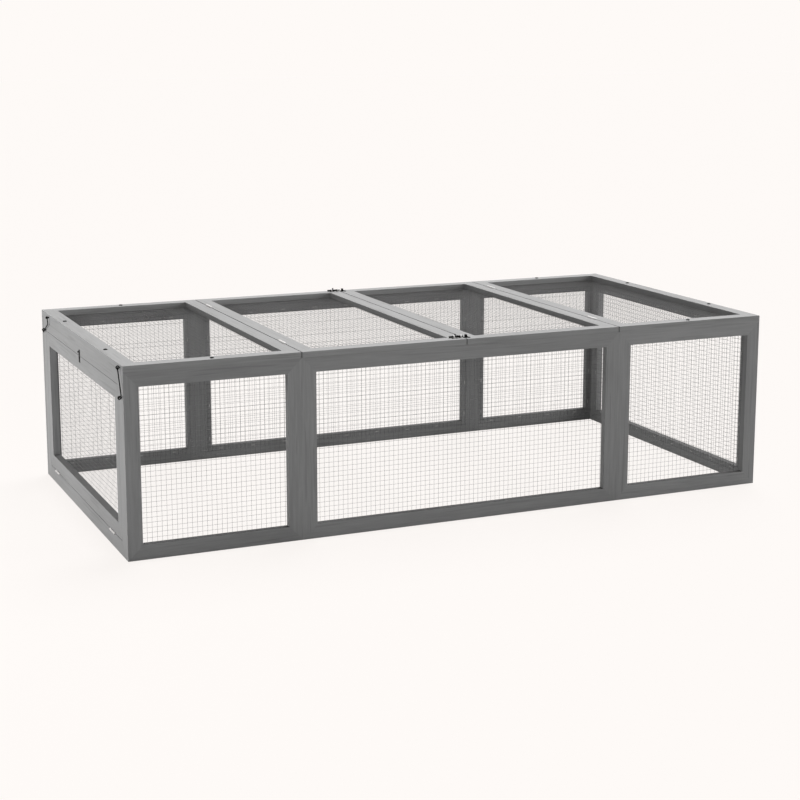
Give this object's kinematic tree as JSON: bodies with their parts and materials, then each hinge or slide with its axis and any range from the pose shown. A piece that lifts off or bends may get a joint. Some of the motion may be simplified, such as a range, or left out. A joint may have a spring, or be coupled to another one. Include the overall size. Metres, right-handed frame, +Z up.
{
  "type": "small animal hutch",
  "caption": "Low, open-bottomed run for small animals: timber frames filled with wire mesh, hinged roof lids with barrel bolts, a drop-down end door and cabin hooks.",
  "frame": {"origin": "middle of the footprint of the timber, on the ground", "axes": "+X along the length, away from the end with the door; +Y from the front wall to the back wall; +Z up"},
  "size_m": [1.8144, 0.9044, 0.4914],
  "materials": {
    "timber": "planed softwood with a matt grey stain",
    "mesh": "galvanised, dull",
    "plated_steel": "bright zinc plate",
    "black_steel": "black, satin"
  },
  "bodies": {
    "run": {"front_left_stiles": "timber", "front_left_rails": "timber", "front_left_net": "mesh", "front_mid_stiles": "timber", "front_mid_rails": "timber", "front_mid_net": "mesh", "front_right_stiles": "timber", "front_right_rails": "timber", "front_right_net": "mesh", "back_left_stiles": "timber", "back_left_rails": "timber", "back_left_net": "mesh", "back_mid_stiles": "timber", "back_mid_rails": "timber", "back_mid_net": "mesh", "back_right_stiles": "timber", "back_right_rails": "timber", "back_right_net": "mesh", "right_end_stiles": "timber", "right_end_rails": "timber", "right_end_net": "mesh", "left_end_stiles": "timber", "left_end_rails": "timber", "roof_left_stiles": "timber", "roof_left_rails": "timber", "roof_left_net": "mesh", "roof_right_stiles": "timber", "roof_right_rails": "timber", "roof_right_net": "mesh", "fixed_leaves": "plated_steel", "hinge_pins": "plated_steel", "fixed_leaf_screws": "plated_steel", "screw_eyes": "black_steel", "roof_screws": "black_steel"},
    "left_lid": {"left_lid_stiles": "timber", "left_lid_rails": "timber", "left_lid_net": "mesh", "left_lid_leaves": "plated_steel", "left_lid_leaf_screws": "plated_steel", "bolt_plates": "plated_steel", "bolt_plate_screws": "black_steel"},
    "right_lid": {"right_lid_stiles": "timber", "right_lid_rails": "timber", "right_lid_net": "mesh", "right_lid_leaves": "plated_steel", "right_lid_leaf_screws": "plated_steel", "bolt_keepers": "plated_steel", "bolt_keeper_screws": "black_steel"},
    "end_door": {"door_stiles": "timber", "door_rails": "timber", "door_net": "mesh", "door_leaves": "plated_steel", "door_leaf_screws": "plated_steel"},
    "front_bolt": {"front_bolt": "plated_steel"},
    "back_bolt": {"back_bolt": "plated_steel"},
    "front_hook": {"front_hook": "black_steel"},
    "back_hook": {"back_hook": "black_steel"}
  },
  "joints": [
    {"name": "left_lid_hinge", "type": "hinge", "parent": "run", "child": "left_lid", "pos_m": [-0.45163, 0, 0.4815], "axis": [0, -1, 0], "range_deg": [0, 170]},
    {"name": "right_lid_hinge", "type": "hinge", "parent": "run", "child": "right_lid", "pos_m": [0.45163, 0, 0.4815], "axis": [0, 1, 0], "range_deg": [0, 170]},
    {"name": "end_door_hinge", "type": "hinge", "parent": "run", "child": "end_door", "pos_m": [-0.9035, 0, 0.038], "axis": [0, -1, 0], "range_deg": [0, 95]},
    {"name": "front_bolt_slide", "type": "slide", "parent": "left_lid", "child": "front_bolt", "axis": [1, 0, 0], "range_m": [0, 0.012]},
    {"name": "back_bolt_slide", "type": "slide", "parent": "left_lid", "child": "back_bolt", "axis": [1, 0, 0], "range_m": [0, 0.012]},
    {"name": "front_hook_swing", "type": "hinge", "parent": "run", "child": "front_hook", "pos_m": [-0.9075, -0.426, 0.47], "axis": [-1, 0, 0], "range_deg": [0, 60]},
    {"name": "back_hook_swing", "type": "hinge", "parent": "run", "child": "back_hook", "pos_m": [-0.9075, 0.407, 0.42605], "axis": [1, 0, 0], "range_deg": [0, 110]}
  ]
}
